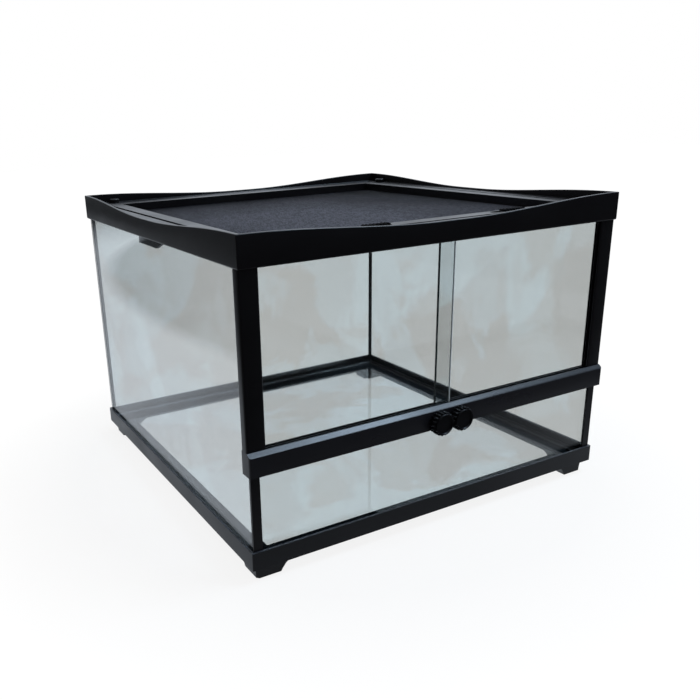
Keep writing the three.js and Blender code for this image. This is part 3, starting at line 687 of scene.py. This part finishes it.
# Spins a profile of (radius, depth) points about the Y axis.
def turned(profile, centre, turns):
    shape = bmesh.new()
    points = [shape.verts.new((out, back, 0)) for out, back in profile]
    edges = [shape.edges.new(pair) for pair in zip(points, points[1:])]
    bmesh.ops.spin(shape, geom=points + edges, cent=(0, 0, 0), axis=(0, 1, 0), angle=2 * math.pi,
                   steps=turns, use_duplicate=False)
    bmesh.ops.remove_doubles(shape, verts=shape.verts, dist=1e-6)
    bmesh.ops.recalc_face_normals(shape, faces=shape.faces)
    bmesh.ops.translate(shape, vec=centre, verts=shape.verts)
    return shape


def makeKnob(node, crownTree):
    low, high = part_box(node)
    radius = (high[2] - low[2]) / 2
    centre = Vector(((low[0] + high[0]) / 2, 0, (low[2] + high[2]) / 2))
    front = low[1]
    back = front + knob["head"] * mm
    core = radius - knob["coreDrop"] * mm
    rim = knob["rim"] * mm
    dish = knob["dish"] * mm
    chamfer = knob["backChamfer"] * mm
    lip = radius - knob["rimDrop"] * mm
    stem = knob["stem"] * mm
    lipIn, lipDown = (value * mm for value in knob["rimChamfer"])
    profile = [
        (0, front + dish), (lip - rim - knob["dishSlope"] * mm, front + dish),
        (lip - rim, front + knob["dishMouth"] * mm), (lip - rim * knob["rimFlat"], front),
        (lip - lipIn, front), (lip, front + lipDown), (lip, front + knob["rimBack"] * mm),
        (core, front + knob["coreFront"] * mm), (core, back - chamfer), (core - chamfer, back),
        (stem, back), (stem, high[1]), (0, high[1])]
    shape = turned(profile, centre, knob["turns"])
    mesh = meshFrom(node + "Core", shape)
    for polygon in mesh.polygons:
        polygon.use_smooth = True
    mesh.set_sharp_from_angle(angle=math.radians(knob["smoothAngle"]))
    length = back - front - (knob["ribInset"] + knob["ribEnd"]) * mm
    middle = front + knob["ribInset"] * mm + length / 2
    ribRadius = knob["ribRadius"] * mm
    piece = growPiece(node + "_turned", crownTree, {
        "Ribs": knob["ribs"], "Rib Radius": ribRadius, "Rib Length": length,
        "Circle": radius - ribRadius, "Centre": centre + Vector((0, middle, 0))}, mesh)
    dress(piece, node, None)


crownTree = makeCrownTree()
for node in ("left_lock_knob", "right_lock_knob"):
    makeKnob(node, crownTree)
print("knobs turned")


# Lid locks: slides with a row of round grip ribs partly sunk in them.
lidLock = {
    "ribs": 7, "pitch": 4.2, "ribRadius": 1.25, "ribSides": 12, "ribHeight": 1.9, "ribMargin": 3,
    "top": 1, "edge": 0.3,
}


def makeGripTree():
    tree, given, made = newTree("gripRibs", [
        ("Slide", "INPUT", "NodeSocketGeometry", None),
        ("Ribs", "INPUT", "NodeSocketInt", 7),
        ("Pitch", "INPUT", "NodeSocketFloat", 0.004),
        ("Rib Radius", "INPUT", "NodeSocketFloat", 0.001),
        ("Rib Length", "INPUT", "NodeSocketFloat", 0.009),
        ("First", "INPUT", "NodeSocketVector", None),
        ("Geometry", "OUTPUT", "NodeSocketGeometry", None),
    ], "GeometryNodeTree")
    bar = addNode(tree, "GeometryNodeMeshCylinder", {"Vertices": lidLock["ribSides"]})
    tree.links.new(given.outputs["Rib Radius"], bar.inputs["Radius"])
    tree.links.new(given.outputs["Rib Length"], bar.inputs["Depth"])
    laid = addNode(tree, "GeometryNodeTransform", {"Rotation": (math.pi / 2, 0, 0)})
    tree.links.new(bar.outputs["Mesh"], laid.inputs["Geometry"])
    smooth = addNode(tree, "GeometryNodeSetShadeSmooth")
    tree.links.new(laid.outputs["Geometry"], smooth.inputs["Geometry"])
    spread = vectorNode(tree, given.outputs["Pitch"])
    row = lineOf(tree, given.outputs["Ribs"], given.outputs["First"], spread, smooth.outputs["Geometry"])
    join = addNode(tree, "GeometryNodeJoinGeometry")
    tree.links.new(given.outputs["Slide"], join.inputs["Geometry"])
    tree.links.new(row, join.inputs["Geometry"])
    finishTree(tree, join.outputs["Geometry"], lockBlack, made)
    return tree


def makeLidLock(node, tree):
    low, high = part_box(node)
    middle = (low + high) / 2
    shape = mergedCopy(node)
    # The slide's top is lowered, and the ribs stand on it up to the old height.
    for vertex in shape.verts:
        if vertex.co.z > high[2] - lidLock["top"] * mm:
            vertex.co.z = high[2] - lidLock["ribHeight"] * mm
    bmesh.ops.dissolve_degenerate(shape, dist=1e-5, edges=shape.edges)
    slide = linkObject(node + "Slide", meshFrom(node + "Slide", shape))
    roundEdges(slide, lidLock["edge"] * mm)
    base = slide.data
    bpy.data.objects.remove(slide)
    span = (lidLock["ribs"] - 1) * lidLock["pitch"] * mm
    radius = lidLock["ribRadius"] * mm
    width = high[1] - low[1] - lidLock["ribMargin"] * mm
    piece = growPiece(node + "_gripped", tree, {
        "Ribs": lidLock["ribs"], "Pitch": lidLock["pitch"] * mm, "Rib Radius": radius, "Rib Length": width,
        "First": Vector((middle[0] - span / 2, middle[1], high[2] - radius))}, base)
    dress(piece, node, None)


gripTree = makeGripTree()
for node in ("left_lid_lock", "right_lid_lock"):
    makeLidLock(node, gripTree)
print("lid locks made")


# Glass: panes with ends painted dark as shade and ground edges painted as a highlight or as shade, beads of
# sealant and the knobs' pads.
panes = {
    "floor_glass": shadedTankGlass, "left_glass": litClearGlass, "right_glass": shadedTankGlass, "back_glass": shadedTankGlass,
    "front_lower_glass": doorGlass, "left_door": doorGlass, "right_door": doorGlass,
}
paneEdges = {"round": 0.25, "frontStrip": 0.9, "rearStrip": 0.3}
fittings = {"round": 0.3, "beadAngle": 60}
# Painted shade: these panes' ends are coloured dark.
shadedEnds = {"left_glass": 1, "right_glass": 1, "back_glass": 0}  # the axis along which a pane's ends lie


def paintFaces(piece, material, chosen):
    piece.data.materials.append(material)
    for polygon in piece.data.polygons:
        if chosen(polygon):
            polygon.material_index = 1


# Each door's free edge is ground: the front door's is painted pale as a highlight, and the rear door's is
# painted dark as shade.
def makePane(node, material):
    shape = mergedCopy(node)
    low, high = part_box(node)
    strips = {
        "left_door": (high[0] - paneEdges["frontStrip"] * mm, 1, edgeHighlightPale),
        "right_door": (low[0] + paneEdges["rearStrip"] * mm, -1, edgeShadeDark),
    }
    start, side, edgePaint = strips.get(node, (0, 0, None))
    if edgePaint:
        bmesh.ops.bisect_plane(shape, geom=shape.verts[:] + shape.edges[:] + shape.faces[:], dist=1e-6,
                               plane_co=(start, 0, 0), plane_no=(1, 0, 0))
    piece = linkObject(node + "_finished", meshFrom(node + "_finished", shape))
    roundEdges(piece, paneEdges["round"] * mm, 1)
    dress(piece, node, material)
    if node in shadedEnds:
        paintFaces(piece, edgeShadeDark, lambda polygon: abs(polygon.normal[shadedEnds[node]]) > 0.9)
    if edgePaint:
        paintFaces(piece, edgePaint, lambda polygon: (polygon.center.x - start) * side > 0)


for node, material in panes.items():
    makePane(node, material)
for node in ("floor_seal", "back_left_seal", "back_right_seal"):
    refined(node, sealantBlack, fittings["round"] * mm, 1, fittings["beadAngle"])
for node in ("left_lock_pad", "right_lock_pad"):
    refined(node, padRubber, fittings["round"] * mm)
print("glass set")


# Studio: a pale floor, a white surround and one broad soft light overhead.
studio = {
    "floor": 14, "floorColor": (0.8, 0.8, 0.8, 1), "floorRoughness": 0.9, "glow": 1.03,
    "shadowReach": (0.32, 0.52), "shadowDepth": 0.16, "ambient": 0.45, "sheen": (0.84, 0.91, 1.0, 1),
    "lampSize": (0.9, 1.1), "lampPlace": (1.28, -0.75, 2.3), "lampPower": 44, "lampColor": (0.62, 0.8, 1.0),
}
# What mirrors in the object: a bright floor that is dim in front, with a dark oval on its left,
# and a surround that is dark in front and on the left.
mirror = {
    "ovalCentre": (-1.557, 0.8), "ovalReach": (1.1, 1.6), "oval": (0.9, 1.0, 0.06, 0.62),
    "far": (1.9, 2.6, 1, 0.1), "under": 1, "underReach": 0.19,
    "front": (-0.5, -0.22, 0.02, 0.22), "frontRight": (0.05, 0.3, 1, 1.6), "frontEnd": (-0.212, -0.2, 0, 1),
    "behind": (-0.1, 0.4, 0.03, 1), "left": (-0.3, 0.05, 0.08, 1), "above": (0.6, 0.95, 0, 0.8),
}


# Rays straight from the camera or only through glass see white, and mirrored rays see the pattern.
def lightRays(tree):
    rays = addNode(tree, "ShaderNodeLightPath")
    bounced = mathNode(tree, "GREATER_THAN", rays.outputs["Glossy Depth"], 0.5)
    scattered = mathNode(tree, "GREATER_THAN", rays.outputs["Diffuse Depth"], 0.5)
    direct = mathNode(tree, "SUBTRACT", 1, mathNode(tree, "MAXIMUM", bounced, scattered))
    through = mathNode(tree, "MULTIPLY", rays.outputs["Is Transmission Ray"], direct)
    seen = mathNode(tree, "MAXIMUM", rays.outputs["Is Camera Ray"], through)
    mirrored = mathNode(tree, "MULTIPLY", rays.outputs["Is Glossy Ray"], bounced)
    return through, seen, mirrored


def mirrorStrength(tree, x, y):
    (centreX, centreY), (reachX, reachY) = mirror["ovalCentre"], mirror["ovalReach"]
    offX = mathNode(tree, "DIVIDE", mathNode(tree, "SUBTRACT", x, centreX), reachX)
    offY = mathNode(tree, "DIVIDE", mathNode(tree, "SUBTRACT", y, centreY), reachY)
    squareX = mathNode(tree, "MULTIPLY", offX, offX)
    squareY = mathNode(tree, "MULTIPLY", offY, offY)
    oval = rangeNode(tree, mathNode(tree, "ADD", squareX, squareY), *mirror["oval"])
    oval = mathNode(tree, "MULTIPLY", oval, rangeNode(tree, y, *mirror["far"]))
    front = rangeNode(tree, y, *mirror["front"])
    front = mathNode(tree, "MULTIPLY", front, rangeNode(tree, x, *mirror["frontRight"]))
    around = mixFloat(tree, rangeNode(tree, y, *mirror["frontEnd"]), front, oval)
    reach = mathNode(tree, "MAXIMUM", mathNode(tree, "ABSOLUTE", x, 0), mathNode(tree, "ABSOLUTE", y, 0))
    return mixFloat(tree, mathNode(tree, "LESS_THAN", reach, mirror["underReach"]), around, mirror["under"])


# The floor shines white with a faint shadow in it, and shows the pattern to mirrored rays.
def makeFloor():
    shape = bmesh.new()
    bmesh.ops.create_grid(shape, x_segments=1, y_segments=1, size=studio["floor"] / 2)
    floor = linkObject("studioFloor", meshFrom("studioFloor", shape))
    material, tree, surface = newMaterial("studioFloor")
    surface.inputs["Base Color"].default_value = studio["floorColor"]
    surface.inputs["Roughness"].default_value = studio["floorRoughness"]
    surface.inputs["Specular IOR Level"].default_value = 0
    through, seen, mirrored = lightRays(tree)
    place = addNode(tree, "ShaderNodeTexCoord").outputs["Object"]
    spot = addNode(tree, "ShaderNodeSeparateXYZ")
    tree.links.new(place, spot.inputs[0])
    reach = addNode(tree, "ShaderNodeVectorMath", operation="LENGTH")
    tree.links.new(place, reach.inputs[0])
    white = rangeNode(tree, reach.outputs["Value"], *studio["shadowReach"], 1 - studio["shadowDepth"], 1)
    white = mathNode(tree, "MAXIMUM", white, through)
    glow = addNode(tree, "ShaderNodeEmission", {"Color": (1, 1, 1, 1), "Strength": studio["glow"]})
    lit = addNode(tree, "ShaderNodeMixShader")
    tree.links.new(mathNode(tree, "MULTIPLY", seen, white), lit.inputs["Fac"])
    tree.links.new(surface.outputs["BSDF"], lit.inputs[1])
    tree.links.new(glow.outputs["Emission"], lit.inputs[2])
    image = addNode(tree, "ShaderNodeEmission", {"Color": studio["sheen"]})
    tree.links.new(mirrorStrength(tree, spot.outputs["X"], spot.outputs["Y"]), image.inputs["Strength"])
    final = addNode(tree, "ShaderNodeMixShader")
    output = next(node for node in tree.nodes if node.type == "OUTPUT_MATERIAL")
    tree.links.new(mirrored, final.inputs["Fac"])
    tree.links.new(lit.outputs["Shader"], final.inputs[1])
    tree.links.new(image.outputs["Emission"], final.inputs[2])
    tree.links.new(final.outputs["Shader"], output.inputs["Surface"])
    floor.data.materials.append(material)


def makeWorld():
    world = bpy.data.worlds.new("studioWorld")
    bpy.context.scene.world = world
    world.use_nodes = True
    tree = world.node_tree
    background = tree.nodes["Background"]
    seen, mirrored = lightRays(tree)[1:]
    heading = addNode(tree, "ShaderNodeSeparateXYZ")
    tree.links.new(addNode(tree, "ShaderNodeTexCoord").outputs["Generated"], heading.inputs[0])
    behind = rangeNode(tree, heading.outputs["Y"], *mirror["behind"])
    behind = mathNode(tree, "MULTIPLY", behind, rangeNode(tree, heading.outputs["X"], *mirror["left"]))
    around = mathNode(tree, "MAXIMUM", behind, rangeNode(tree, heading.outputs["Z"], *mirror["above"]))
    level = mixFloat(tree, mirrored, studio["ambient"], around)
    tree.links.new(mixFloat(tree, seen, level, 1), background.inputs["Strength"])
    tree.links.new(mixColor(tree, mirrored, (1, 1, 1, 1), studio["sheen"]), background.inputs["Color"])


def makeOverhead():
    data = bpy.data.lights.new("overheadSoftbox", "AREA")
    data.shape = "RECTANGLE"
    data.size, data.size_y = studio["lampSize"]
    data.energy = studio["lampPower"]
    data.color = studio["lampColor"]
    lamp = bpy.data.objects.new("overheadSoftbox", data)
    lamp.location = studio["lampPlace"]
    bpy.context.scene.collection.objects.link(lamp)


makeFloor()
makeWorld()
makeOverhead()
print("studio lit")
